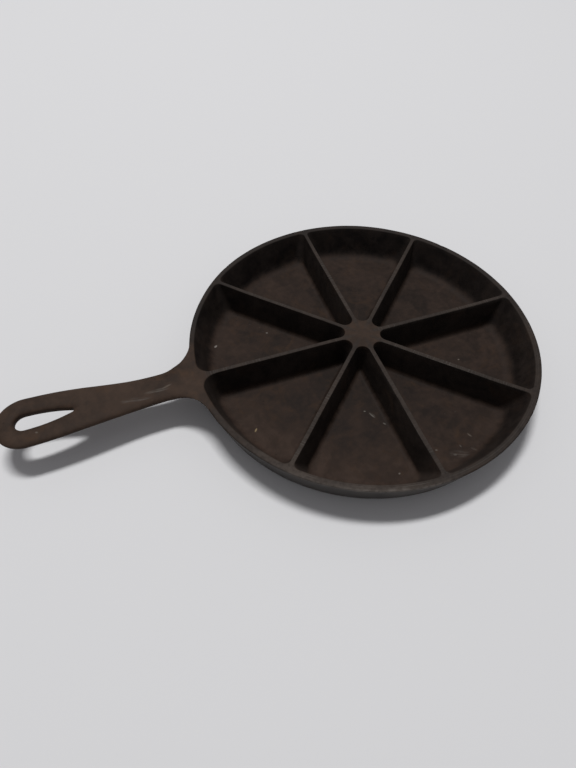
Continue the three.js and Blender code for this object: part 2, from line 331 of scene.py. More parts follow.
# setback of a pocket face from its line at the rim: round top edge, draft, fillet at the floor
def setback(z, draft, fillet, edge):
    tangent = tan(pi / 4 - draft / 2)
    aboveEdge = z - (pan["height"] - edge)
    if aboveEdge > edge * sin(draft):
        return sqrt(max(0, edge ** 2 - aboveEdge ** 2)) - edge * tangent
    belowFillet = pan["floor"] + fillet - z
    if belowFillet > fillet * sin(draft):
        foot = (pan["height"] - pan["floor"]) * tan(draft) + fillet * tangent
        return foot - sqrt(max(0, fillet ** 2 - belowFillet ** 2))
    return (pan["height"] - z) * tan(draft)


# levels of a pocket face from the floor up, each (height, extra inset on the flat top)
def faceLevels(footSteps=8, wallSteps=7, edgeSteps=5):
    ribSide = (pocket["ribDraft"], pocket["ribFillet"], pocket["ribEdge"])
    wallSide = (pan["innerFlare"], pan["wallFillet"], pocket["wallEdge"])
    heights = [pan["floor"]]
    edges = []
    for draft, fillet, edge in (ribSide, wallSide):
        for i in range(1, footSteps + 1):
            a = pi / 2 + (draft - pi / 2) * i / footSteps
            heights.append(pan["floor"] + fillet * (1 - sin(a)))
        for i in range(edgeSteps):
            a = draft + (pi / 2 - draft) * i / edgeSteps
            edges.append(pan["height"] - edge * (1 - sin(a)))
    low, high = max(heights), min(edges)
    heights += [low + (high - low) * i / wallSteps for i in range(1, wallSteps)]
    heights += edges + [pan["height"]]
    return [(z, 0.0) for z in sorted(heights)] + [(pan["height"], pocket["topLand"])]


hubTip = (pocket["hubRadius"] * sin(wedge / 2) - pocket["ribTop"] / 2) / (1 - sin(wedge / 2))


def pocketSizes(z, flat):
    ribSetback = setback(z, pocket["ribDraft"], pocket["ribFillet"], pocket["ribEdge"])
    wallSetback = setback(z, pan["innerFlare"], pan["wallFillet"], pocket["wallEdge"])
    half = pocket["ribTop"] / 2 + ribSetback - flat
    outer = pan["rimRadius"] - pan["rimWidth"] - wallSetback + flat
    tip = max(hubTip - half + pocket["ribTop"] / 2, pocket["smallestTip"])
    return {
        "z": z,
        "half": half,
        "outer": outer,
        "depth": (pan["height"] - z) / (pan["height"] - pan["floor"]),
        "tip": tip,
        "tipDistance": (half + tip) / sin(wedge / 2),
    }


# rounded corner between a divider and the wall, its radius given at the rim
def pocketCorner(size, atRim):
    radius = atRim + (pocket["floorCorner"] - atRim) * size["depth"]
    across = size["half"] + radius
    reach = size["outer"] - radius
    along = sqrt(reach ** 2 - across ** 2)
    angle = atan2(across, along)
    return {"radius": radius, "across": across, "reach": reach, "along": along, "angle": angle}


def straightReach(size):
    radii = [pocket[key] for key in ("rimCorner", "handleCorner", "nearCorner")]
    corners = [pocketCorner(size, radius)["along"] for radius in radii]
    return min(*corners, size["outer"] * cos(wedge / 2))


sizes = [pocketSizes(z, flat) for z, flat in faceLevels()]
hubParting = max(s["tipDistance"] for s in sizes) * cos(wedge / 2) + pocket["partingMargin"]
wallParting = min(straightReach(s) for s in sizes) - pocket["partingMargin"]
print("partings at", round(hubParting, 2), round(wallParting, 2))


def outerRadius(z):
    edge = pan["rimEdge"]
    above = z - (pan["height"] - edge)
    return pan["rimRadius"] - edge + (edge + above * sin(pan["outerFlare"])) / cos(pan["outerFlare"])


# shared shader groups: each puts out only masks, values and colours that change over the surface
def newGroup(name, inputs, outputs):
    group = bpy.data.node_groups.new(name, "ShaderNodeTree")
    for label, kind, value in inputs:
        socket = group.interface.new_socket(label, in_out="INPUT", socket_type="NodeSocket" + kind)
        if value is not None:
            socket.default_value = value
    for label, kind in outputs:
        group.interface.new_socket(label, in_out="OUTPUT", socket_type="NodeSocket" + kind)
    return group, group.nodes.new("NodeGroupInput"), group.nodes.new("NodeGroupOutput")


def node(tree, kind, values=None, links=None, **settings):
    made = tree.nodes.new(kind)
    for key, value in settings.items():
        setattr(made, key, value)
    for key, value in (values or {}).items():
        made.inputs[key].default_value = value
    for key, socket in (links or {}).items():
        tree.links.new(socket, made.inputs[key])
    return made


def calc(tree, operation, a, b, clamp=False):
    made = node(tree, "ShaderNodeMath", operation=operation, use_clamp=clamp)
    for slot, value in enumerate((a, b)):
        if isinstance(value, (int, float)):
            made.inputs[slot].default_value = value
        else:
            tree.links.new(value, made.inputs[slot])
    return made.outputs[0]


# product of two or more, held to 0..1 at the last step if asked
def times(tree, product, *factors, clamp=False):
    for i, factor in enumerate(factors):
        product = calc(tree, "MULTIPLY", product, factor, clamp and i == len(factors) - 1)
    return product


def invert(tree, value):
    return calc(tree, "SUBTRACT", 1.0, value)


def ramp(tree, value, low, high, start=0.0, end=1.0, kind="SMOOTHSTEP"):
    limits = {"From Min": low, "From Max": high, "To Min": start, "To Max": end}
    made = node(tree, "ShaderNodeMapRange", limits, {"Value": value}, interpolation_type=kind)
    return made.outputs["Result"]


def noiseOf(tree, vector, scale, detail, roughness, distortion=0.0):
    values = {"Scale": scale, "Detail": detail, "Roughness": roughness, "Distortion": distortion}
    return node(tree, "ShaderNodeTexNoise", values, {"Vector": vector}).outputs["Fac"]


def cellsOf(tree, vector, scale):
    values = {"Scale": scale, "Randomness": 1.0}
    return node(tree, "ShaderNodeTexVoronoi", values, {"Vector": vector}).outputs["Distance"]


def stretched(tree, vector, scale, turned=0.0):
    values = {"Rotation": (0.0, 0.0, turned), "Scale": scale}
    return node(tree, "ShaderNodeMapping", values, {"Vector": vector}).outputs["Vector"]


def mixColor(tree, factor, first, second, clamp=True):
    mixed = node(tree, "ShaderNodeMix", data_type="RGBA", clamp_factor=clamp, links={"Factor": factor})
    for slot, value in ((6, first), (7, second)):  # the colour inputs A and B
        if isinstance(value, tuple):
            mixed.inputs[slot].default_value = (*value, 1)
        else:
            tree.links.new(value, mixed.inputs[slot])
    return mixed.outputs[2]


# sand-cast skin: fine grain, coarser orange-peel and scattered pin holes
def castGrainGroup():
    group, inside, out = newGroup(
        "castGrain",
        [("Vector", "Vector", None), ("Coarse", "Float", 0.5), ("Pits", "Float", 0.5)],
        [("Height", "Float"), ("Pit Mask", "Float")],
    )
    vector = inside.outputs["Vector"]
    fine = noiseOf(group, vector, scale=1500.0, detail=2.0, roughness=0.6)
    peel = noiseOf(group, vector, scale=420.0, detail=3.0, roughness=0.55)
    coarse = times(group, peel, inside.outputs["Coarse"])
    pinHole = invert(group, ramp(group, cellsOf(group, vector, scale=330.0), 0.08, 0.26))
    place = noiseOf(group, vector, scale=60.0, detail=2.0, roughness=0.5)
    chosen = ramp(group, place, 0.52, 0.66)
    pits = times(group, pinHole, chosen, inside.outputs["Pits"])
    height = calc(group, "ADD", times(group, fine, 0.35), coarse)
    height = calc(group, "SUBTRACT", height, pits)
    group.links.new(height, out.inputs["Height"])
    group.links.new(pits, out.inputs["Pit Mask"])
    return group


# baked-on oil: black body colour, brown where it is thin, rust-brown blotches; its paler-oil input
# also carries painted light and shade
def seasoningGroup():
    group, inside, out = newGroup(
        "seasoning",
        [
            ("Vector", "Vector", None),
            ("Body", "Color", (0.02, 0.014, 0.011, 1)),
            ("Thin", "Color", (0.035, 0.024, 0.019, 1)),
            ("Rust", "Color", (0.06, 0.03, 0.016, 1)),
            ("Rust Amount", "Float", 0.3),
            ("Pale Oil And Painted Light", "Float", 0.0),
        ],
        [("Color", "Color"), ("Thinness", "Float")],
    )
    vector = inside.outputs["Vector"]
    clouds = noiseOf(group, vector, scale=46.0, detail=6.0, roughness=0.64, distortion=0.6)
    specks = noiseOf(group, vector, scale=190.0, detail=4.0, roughness=0.6)
    blotches = noiseOf(group, vector, scale=64.0, detail=6.0, roughness=0.68, distortion=0.9)
    cloud = times(group, ramp(group, clouds, 0.38, 0.62), 0.6)
    speckle = times(group, ramp(group, specks, 0.38, 0.66), 0.4)
    thin = calc(group, "ADD", cloud, speckle)
    # paler oil, together with painted light and shade on the walls
    thin = calc(group, "ADD", thin, inside.outputs["Pale Oil And Painted Light"])
    rust = times(group, ramp(group, blotches, 0.50, 0.72), inside.outputs["Rust Amount"])
    oil = mixColor(group, thin, inside.outputs["Body"], inside.outputs["Thin"], clamp=False)
    color = mixColor(group, rust, oil, inside.outputs["Rust"])
    group.links.new(color, out.inputs["Color"])
    group.links.new(thin, out.inputs["Thinness"])
    return group


# bare iron where the top edges rub, broken up by noise; the same mask also lays the painted highlight
# on worn edges
def edgeWearGroup():
    group, inside, out = newGroup(
        "edgeWear",
        [("Vector", "Vector", None), ("Wear", "Float", 0.0), ("Amount", "Float", 0.6)],
        [("Mask", "Float")],
    )
    vector = inside.outputs["Vector"]
    patches = noiseOf(group, vector, scale=42.0, detail=4.0, roughness=0.6)
    flecks = noiseOf(group, vector, scale=420.0, detail=3.0, roughness=0.6)
    patch = calc(group, "ADD", times(group, ramp(group, patches, 0.30, 0.72), 0.45), 0.55)
    fleck = calc(group, "ADD", times(group, ramp(group, flecks, 0.30, 0.62), 0.5), 0.5)
    broken = times(group, patch, fleck)
    mask = times(group, inside.outputs["Wear"], broken, inside.outputs["Amount"], clamp=True)
    group.links.new(mask, out.inputs["Mask"])
    return group


# pale flecks and short rub marks
def fleckGroup():
    group, inside, out = newGroup(
        "paleFlecks",
        [("Vector", "Vector", None), ("Amount", "Float", 0.5)],
        [("Mask", "Float")],
    )
    vector = inside.outputs["Vector"]
    bent = stretched(group, vector, (1.0, 2.2, 1.0), turned=0.7)
    dot = invert(group, ramp(group, cellsOf(group, bent, scale=150.0), 0.05, 0.16))
    dotPlace = noiseOf(group, vector, scale=38.0, detail=2.0, roughness=0.5)
    dots = times(group, dot, ramp(group, dotPlace, 0.60, 0.70))
    streak = stretched(group, vector, (14.0, 1.0, 1.0), turned=-0.5)
    rub = noiseOf(group, streak, scale=130.0, detail=3.0, roughness=0.6)
    rubPlace = noiseOf(group, vector, scale=20.0, detail=2.0, roughness=0.5)
    rubs = times(group, ramp(group, rub, 0.70, 0.80), ramp(group, rubPlace, 0.52, 0.68), 0.45)
    both = calc(group, "MAXIMUM", dots, rubs)
    mask = times(group, both, inside.outputs["Amount"], clamp=True)
    group.links.new(mask, out.inputs["Mask"])
    return group


# one rubbed patch: an oval, broken into thin lines along its length
def scuffGroup():
    group, inside, out = newGroup(
        "scuff",
        [
            ("Vector", "Vector", None),
            ("Center", "Vector", (0, 0, 0)),
            ("Turn", "Float", 0.0),
            ("Length", "Float", 0.01),
            ("Width", "Float", 0.003),
            ("Lines", "Float", 0.8),
            ("Amount", "Float", 0.5),
        ],
        [("Mask", "Float")],
    )
    ends = {0: inside.outputs["Vector"], 1: inside.outputs["Center"]}
    moved = node(group, "ShaderNodeVectorMath", links=ends, operation="SUBTRACT").outputs[0]
    swing = {"Vector": moved, "Angle": inside.outputs["Turn"]}
    turned = node(group, "ShaderNodeVectorRotate", links=swing, rotation_type="Z_AXIS").outputs[0]
    parts = node(group, "ShaderNodeSeparateXYZ", links={0: turned})
    along = calc(group, "DIVIDE", parts.outputs[0], inside.outputs["Length"])
    across = calc(group, "DIVIDE", parts.outputs[1], inside.outputs["Width"])
    squares = [calc(group, "POWER", share, 2.0) for share in (along, across)]
    oval = invert(group, ramp(group, calc(group, "ADD", *squares), 0.1, 1.0))
    drawn = stretched(group, turned, (0.12, 1.0, 1.0))
    strokes = noiseOf(group, drawn, scale=900.0, detail=3.0, roughness=0.6)
    gaps = invert(group, ramp(group, strokes, 0.42, 0.62))
    kept = invert(group, times(group, gaps, inside.outputs["Lines"]))
    mask = times(group, oval, kept, inside.outputs["Amount"], clamp=True)
    group.links.new(mask, out.inputs["Mask"])
    return group


# fine rubbed lines around the pan's axis, for the flat rim
def rimLineGroup():
    group, inside, out = newGroup(
        "rimLines",
        [("Vector", "Vector", None), ("Wear", "Float", 0.0), ("Amount", "Float", 0.5)],
        [("Mask", "Float")],
    )
    vector, level = inside.outputs["Vector"], (1.0, 1.0, 0.0)
    flat = node(group, "ShaderNodeVectorMath", {1: level}, {0: vector}, operation="MULTIPLY")
    radius = node(group, "ShaderNodeVectorMath", links={0: flat.outputs[0]}, operation="LENGTH")
    ringed = node(group, "ShaderNodeCombineXYZ", links={0: radius.outputs["Value"]}).outputs[0]
    lines = ramp(group, noiseOf(group, ringed, scale=950.0, detail=2.0, roughness=0.6), 0.50, 0.66)
    patch = ramp(group, noiseOf(group, vector, scale=24.0, detail=3.0, roughness=0.6), 0.44, 0.62)
    mask = times(group, lines, patch, inside.outputs["Wear"], inside.outputs["Amount"], clamp=True)
    group.links.new(mask, out.inputs["Mask"])
    return group


groups = {
    "grain": castGrainGroup(),
    "seasoning": seasoningGroup(),
    "wear": edgeWearGroup(),
    "flecks": fleckGroup(),
    "scuff": scuffGroup(),
    "rimLines": rimLineGroup(),
}
print("shader groups", ", ".join(sorted(groups)))

# rubbed places and crumbs, each at its own spot on the surface
handleMarks = [
    {"at": (-141.0, -3.4, 24.5), "turn": 4, "long": 9.0, "wide": 1.6, "lines": 0.7,
     "amount": 0.34, "color": (0.17, 0.15, 0.13)},
    {"at": (-134.5, -2.2, 24.8), "turn": -14, "long": 4.0, "wide": 0.8, "lines": 0.5,
     "amount": 0.45, "color": (0.20, 0.17, 0.14)},
    {"at": (-157.0, -5.4, 24.2), "turn": 8, "long": 8.0, "wide": 2.2, "lines": 0.9,
     "amount": 0.26, "color": (0.15, 0.14, 0.13)},
    {"at": (-150.0, -6.6, 24.0), "turn": 2, "long": 6.0, "wide": 1.0, "lines": 0.8,
     "amount": 0.28, "color": (0.15, 0.14, 0.13)},
    {"at": (-213.0, -11.0, 24.6), "turn": 30, "long": 1.1, "wide": 0.7, "lines": 0.2,
     "amount": 0.40, "color": (0.22, 0.20, 0.17)},
]
floorMarks = [
    {"at": (-56.2, 38.7, 4.5), "turn": 20, "long": 1.0, "wide": 0.7, "lines": 0.2,
     "amount": 0.55, "color": (0.30, 0.28, 0.25)},
    {"at": (-88.3, -38.5, 4.5), "turn": -50, "long": 1.9, "wide": 0.7, "lines": 0.2,
     "amount": 0.70, "color": (0.36, 0.27, 0.15)},
    {"at": (22.8, -95.0, 4.5), "turn": 10, "long": 1.4, "wide": 1.0, "lines": 0.5,
     "amount": 0.18, "color": (0.28, 0.26, 0.23)},
    {"at": (29.0, -90.7, 4.5), "turn": 80, "long": 1.3, "wide": 0.6, "lines": 0.3,
     "amount": 0.24, "color": (0.26, 0.24, 0.21)},
    {"at": (13.3, -88.4, 4.5), "turn": 20, "long": 1.0, "wide": 0.7, "lines": 0.2,
     "amount": 0.30, "color": (0.28, 0.26, 0.23)},
    {"at": (-13.5, -51.8, 4.5), "turn": 65, "long": 3.2, "wide": 1.2, "lines": 0.8,
     "amount": 0.45, "color": (0.26, 0.24, 0.21)},
    {"at": (-8.8, -60.3, 4.5), "turn": 50, "long": 1.4, "wide": 0.7, "lines": 0.3,
     "amount": 0.40, "color": (0.26, 0.24, 0.21)},
    {"at": (-15.7, -95.6, 4.5), "turn": -20, "long": 0.9, "wide": 0.7, "lines": 0.2,
     "amount": 0.45, "color": (0.28, 0.25, 0.22)},
    {"at": (63.8, -28.5, 4.5), "turn": 0, "long": 0.9, "wide": 0.7, "lines": 0.2,
     "amount": 0.45, "color": (0.28, 0.24, 0.20)},
    {"at": (38.6, -85.4, 4.5), "turn": 65, "long": 2.2, "wide": 0.8, "lines": 0.6,
     "amount": 0.35, "color": (0.26, 0.22, 0.18)},
    {"at": (-17.0, -47.5, 4.5), "turn": 20, "long": 0.9, "wide": 0.6, "lines": 0.2,
     "amount": 0.50, "color": (0.28, 0.26, 0.23)},
]
footMarks = [  # these run from the floor up onto the wall
    {"at": (25.6, -95.4, 4.5), "turn": 19, "long": 7.5, "wide": 3.4, "lines": 0.9,
     "amount": 0.17, "color": (0.20, 0.18, 0.16)},
    {"at": (35.6, -95.6, 4.5), "turn": 65, "long": 2.6, "wide": 0.9, "lines": 0.6,
     "amount": 0.18, "color": (0.24, 0.21, 0.18)},
]
wallMarks = [
    {"at": (-94.8, 37.5, 4.8), "turn": -40, "long": 1.8, "wide": 0.8, "lines": 0.2,
     "amount": 0.75, "color": (0.34, 0.31, 0.28)},
]

# oil colours: the thick body of it and where it is thin
pocketOil = {"body": (0.0148, 0.0093, 0.0070), "thin": (0.0372, 0.0241, 0.0183)}
# the wall's oil is darker than the floor's, partly painted shade for the shaded pocket walls
wallOil = {"body": (0.0125, 0.0092, 0.0080), "thin": (0.0275, 0.0200, 0.0165)}

# zones that run over more than one piece, laid on in this order
zoneOil = {
    "foot": pocketOil,
    # lighter grey for the outside, partly a painted reflection of the table and the sky
    "outside": {"body": (0.046, 0.0420, 0.0395), "thin": (0.070, 0.0640, 0.0600)},
    "hand": {"body": (0.031, 0.0196, 0.0139), "thin": (0.058, 0.0370, 0.0266)},
}

# colours that every region shares
ironColor = {
    # painted highlight laid on worn edges
    "bare": (0.155, 0.136, 0.121),
    "rimLine": (0.13, 0.12, 0.11),
    "fleck": (0.24, 0.21, 0.18),
    "pit": (0.010, 0.008, 0.007),
}
grainHeight = 0.0006  # metres

# finish of each region of the casting
ironFinish = {
    "pocketIron": {  # pan floor: brown, with a few dried crumbs
        "oil": pocketOil, "rust": (0.060, 0.031, 0.015), "rustAmount": 0.30,
        "worn": (0.05, 0.04, 0.034), "wearAmount": 0.0, "lineAmount": 0.0, "fleckAmount": 0.10,
        "roughLow": 0.64, "roughHigh": 0.78, "specular": 0.13,
        "coarse": 0.55, "pits": 0.45, "bump": 0.20, "marks": floorMarks + footMarks,
    },
    "wallIron": {  # wall, hub and dividers: blacker, partly as painted shade, rubbed on top
        "oil": wallOil, "rust": (0.050, 0.028, 0.016), "rustAmount": 0.25,
        "worn": (0.064, 0.0500, 0.0415), "wearAmount": 0.95, "lineAmount": 0.45, "fleckAmount": 0.06,
        "roughLow": 0.62, "roughHigh": 0.76, "specular": 0.13,
        "coarse": 0.60, "pits": 0.45, "bump": 0.22, "marks": wallMarks + footMarks,
    },
    "handleIron": {  # handle: as the wall where they meet, smoother from the hand
        "oil": wallOil, "rust": (0.080, 0.041, 0.020), "rustAmount": 0.36,
        "worn": (0.064, 0.0500, 0.0415), "wearAmount": 0.95, "lineAmount": 0.0, "fleckAmount": 0.04,
        "roughLow": 0.62, "roughHigh": 0.74, "specular": 0.13,
        "coarse": 0.50, "pits": 0.40, "bump": 0.18, "marks": handleMarks,
    },
}


def ironMaterial(name):
    finish = ironFinish[name]
    material = bpy.data.materials.new(name)
    material.use_nodes = True
    tree = material.node_tree
    shader = tree.nodes["Principled BSDF"]
    spot = node(tree, "ShaderNodeTexCoord").outputs["Object"]

    def use(group, **values):
        made = node(tree, "ShaderNodeGroup", node_tree=groups[group])
        tree.links.new(spot, made.inputs["Vector"])
        for key, value in values.items():
            made.inputs[key].default_value = value
        return made

    def zone(key):
        return node(tree, "ShaderNodeAttribute", attribute_name=key).outputs["Fac"]

    grain = use("grain", Coarse=finish["coarse"], Pits=finish["pits"])
    rust = {"Rust": (*finish["rust"], 1), "Rust Amount": finish["rustAmount"]}
    oil = use("seasoning", **rust)
    for key, socket in (("body", "Body"), ("thin", "Thin")):
        tone = finish["oil"][key]
        for place, placeOil in zoneOil.items():
            tone = mixColor(tree, zone(place), tone, placeOil[key])
        tree.links.new(tone, oil.inputs[socket])
    tree.links.new(zone("paleOilAndPaintedLight"), oil.inputs["Pale Oil And Painted Light"])
    wear = use("wear", Amount=finish["wearAmount"])
    tree.links.new(zone("wear"), wear.inputs["Wear"])
    # the painted highlight on worn edges, through the same broken-up mask
    bare = use("wear", Amount=finish["wearAmount"])
    tree.links.new(zone("wornEdgeHighlight"), bare.inputs["Wear"])
    lines = use("rimLines", Amount=finish["lineAmount"])
    tree.links.new(zone("wear"), lines.inputs["Wear"])
    flecks = use("flecks", Amount=finish["fleckAmount"])

    layers = [
        (wear, finish["worn"]),
        (bare, ironColor["bare"]),
        (lines, ironColor["rimLine"]),
        (flecks, ironColor["fleck"]),
    ]
    for mark in finish["marks"]:
        rub = use(
            "scuff",
            Center=[c * mm for c in mark["at"]],
            Turn=radians(mark["turn"]),
            Length=mark["long"] * mm,
            Width=mark["wide"] * mm,
            Lines=mark["lines"],
            Amount=mark["amount"],
        )
        layers.append((rub, mark["color"]))
    color = oil.outputs["Color"]
    for layer, tint in layers:
        color = mixColor(tree, layer.outputs["Mask"], color, tint)
    color = mixColor(tree, grain.outputs["Pit Mask"], color, ironColor["pit"])
    tree.links.new(color, shader.inputs["Base Color"])

    thinness = oil.outputs["Thinness"]
    rough = ramp(tree, thinness, 0.0, 1.0, finish["roughLow"], finish["roughHigh"], "LINEAR")
    tree.links.new(rough, shader.inputs["Roughness"])
    shader.inputs["Specular IOR Level"].default_value = finish["specular"]
    relief = {"Strength": finish["bump"], "Distance": grainHeight}
    bump = node(tree, "ShaderNodeBump", relief, {"Height": grain.outputs["Height"]})
    tree.links.new(bump.outputs["Normal"], shader.inputs["Normal"])
    return material


materials = {name: ironMaterial(name) for name in ironFinish}
print("materials", ", ".join(materials))

# facets along each curve of the pan
panSteps = {
    "underside": 18,
    "bottomEdge": 9,
    "floor": 44,
    "floorAround": 288,
    "corner": 9,
    "bay": 52,
    "outside": 12,
    "rimEdge": 7,
    "rimAround": 576,
    "tip": 18,
    "divider": 56,
}
rimLand = 0.3  # strip of the flat rim along its outer edge


# round floor: flat underside, rounded edge, a short flared side and the pocket bottoms
def buildFloor():
    radius, rings, flats = pan["bottomEdge"], panSteps["underside"], panSteps["floor"]
    edgeX = outerRadius(0) - radius * tan(pi / 4 - pan["outerFlare"] / 2)
    top = outerRadius(pan["floor"])
    profile = [(edgeX * i / rings, 0.0) for i in range(1, rings)]
    profile += arc(edgeX, radius, radius, -pi / 2, -pan["outerFlare"], panSteps["bottomEdge"])
    profile += [(top * (1 - i / flats), pan["floor"]) for i in range(flats)]
    points = spun(profile, panSteps["floorAround"])
    faces = skin(len(profile), panSteps["floorAround"])
    capRings(points, faces, panSteps["floorAround"], 0, pan["floor"])
    return addPiece("panFloor", "pan_floor", points, faces, materials["pocketIron"])


# flared wall with the flat rim, bays toward the pockets and a root for each divider
def buildWall():
    rings = []
    handleSide = pocket["count"] // 2  # number of the pocket on the near side of the handle
    for s in sizes:
        ring = []
        for k in range(pocket["count"]):
            near = pocketCorner(s, pocket["nearCorner" if k == handleSide else "rimCorner"])
            far = pocketCorner(s, pocket["handleCorner" if k == handleSide - 1 else "rimCorner"])
            farAngle = wedge - far["angle"]
            farCenter = turn((far["reach"], 0), farAngle)
            corner = panSteps["corner"]
            bay = [(wallParting, s["half"])]
            bay += arc(near["along"], near["across"], near["radius"], -pi / 2, near["angle"], corner)
            bay += arc(0, 0, s["outer"], near["angle"], farAngle, panSteps["bay"])[1:-1]
            bay += arc(*farCenter, far["radius"], farAngle, wedge + pi / 2, corner)
            bay += [turn((wallParting, -s["half"]), wedge)]
            ring += [(*turn(p, k * wedge), s["z"]) for p in bay]
        rings.append(ring)
    points = [p for ring in rings for p in ring]
    faces = skin(len(rings), len(rings[0]))

    edge, steps, around = pan["rimEdge"], panSteps["outside"], panSteps["rimAround"]
    rimX, rimZ = pan["rimRadius"] - edge, pan["height"] - edge
    heights = [pan["floor"] + (rimZ - pan["floor"]) * i / steps for i in range(steps)]
    profile = [(outerRadius(z), z) for z in heights]
    profile += arc(rimX, rimZ, edge, -pan["outerFlare"], pi / 2, panSteps["rimEdge"])
    profile += [(rimX - rimLand, pan["height"])]
    faces += skin(len(profile), around, first=len(points))
    points += spun(profile, around)

    # flat rim and the hidden underside are filled between the inner and the outer ring
    bm = bmesh.new()
    made = [bm.verts.new(p) for p in points]
    bm.verts.index_update()
    for face in faces:
        bm.faces.new([made[i] for i in face])
    for height, up in ((pan["height"], 1), (pan["floor"], -1)):
        loose = [e for e in bm.edges if e.is_boundary]
        loose = [e for e in loose if all(abs(v.co.z - height) < weld["level"] for v in e.verts)]
        bmesh.ops.triangle_fill(bm, use_beauty=True, edges=loose, normal=(0, 0, up))
    bm.verts.index_update()
    points = [tuple(v.co) for v in bm.verts]
    faces = [tuple(v.index for v in f.verts) for f in bm.faces]
    bm.free()
    return addPiece("sideWall", "side_wall", points, faces, materials["wallIron"])


# hub with a hollow bay for the tip of each pocket
def buildHub():
    rings = []
    for s in sizes:
        ring = []
        for k in range(pocket["count"]):
            along = s["tipDistance"] * cos(wedge / 2)
            across = s["tipDistance"] * sin(wedge / 2)
            bay = [(hubParting, s["half"])]
            bay += arc(along, across, s["tip"], 1.5 * pi, wedge + pi / 2, panSteps["tip"])
            bay += [turn((hubParting, -s["half"]), wedge)]
            ring += [(*turn(p, k * wedge), s["z"]) for p in bay]
        rings.append(ring)
    points = [p for ring in rings for p in ring]
    count = len(rings[0])
    faces = skin(len(rings), count)
    capRings(points, faces, count, pan["floor"], pan["height"])
    return addPiece("centerHub", "center_hub", points, faces, materials["wallIron"])


# one straight drafted rib, number 1 in line with the handle
def buildDivider(number):
    angle = pi - (number - 1) * wedge
    section = [(-s["half"], s["z"]) for s in sizes] + [(s["half"], s["z"]) for s in reversed(sizes)]
    steps = panSteps["divider"]
    points = []
    for i in range(steps + 1):
        x = hubParting + (wallParting - hubParting) * i / steps
        points += [(*turn((x, y), angle), z) for y, z in section]
    count = len(section)
    faces = skin(steps + 1, count)
    faces += [tuple(range(count)), tuple(steps * count + i for i in reversed(range(count)))]
    names = ("divider%d" % number, "divider_%d" % number)
    return addPiece(*names, points, faces, materials["wallIron"])


handle = {
    "reach": 119.9,
    "waist": 21.2,
    "gripWidth": 35.4,
    "flareRadius": 24.0,
    "gripDrop": 0.8,
    "waistSag": 0.6,
    "sagLength": 82.0,
    "rootThick": 11.0,
    "gripThick": 6.8,
    "taperLead": 4.0,  # it starts to thin this far before the waist
    "rootCrown": (8.0, 2.8),  # width and depth of the rounding toward each edge
    "gripCrown": (5.5, 1.8),
    "edge": 1.3,  # height of the side between the two roundings
    "rootEdge": 0.25,
    "flush": (117.5, 135.0),  # the root is level with the rim, the rounding grows between these
    "duckFrom": 0.2,  # this far inside the rim's rounded edge the top ducks under the rim
    "duck": 0.08,
    "rootInset": (3.2, 2.4),  # first sections, inside the rim
    "farFlare": 1.2,  # the flare on the far side is this much slimmer
    "farFlareEnd": (129.0, 121.0),
    "wallFillet": 5.0,
    "wallHeight": 16.5,  # the underside meets the wall at about this height
    "nudge": 0.01,  # step for measuring the slope of its sides
}

hole = {  # teardrop hanging hole, a short throat between two flared lips
    "length": 34.7,
    "width": 11.6,
    "tipMargin": 11.4,
    "pointRadius": 1.5,
    "sideRadius": 87.0,
    "throat": 1.2,
    "upperLipWidth": 5.0,
    "upperLipDepth": 2.0,
    "lowerLipWidth": 4.0,
    "lipBlend": (0.8, 0.2),  # reach and height of the soft line between underside and lip
    "smallest": 0.02,  # a narrower hole counts as closed
}

# facets of the handle along its length, and around one half of a section
handleSteps = {"flare": 20, "swell": 24, "lip": 9, "sides": 18, "end": 14, "tip": 34}
sectionSteps = {"lip": 8, "flat": 4, "crown": 10, "side": 3, "belly": 14, "lowerLip": 7}
# most of a section's width that each rounding may take
sectionShare = {"lip": 0.42, "crown": 0.52, "lowerLip": 0.4}


# elliptical drop of a surface within width of an edge
def roundOver(distance, width, depth):
    t = 1 - min(max(distance / width, 0.0), 1.0)
    return depth * (1 - sqrt(1 - t * t))


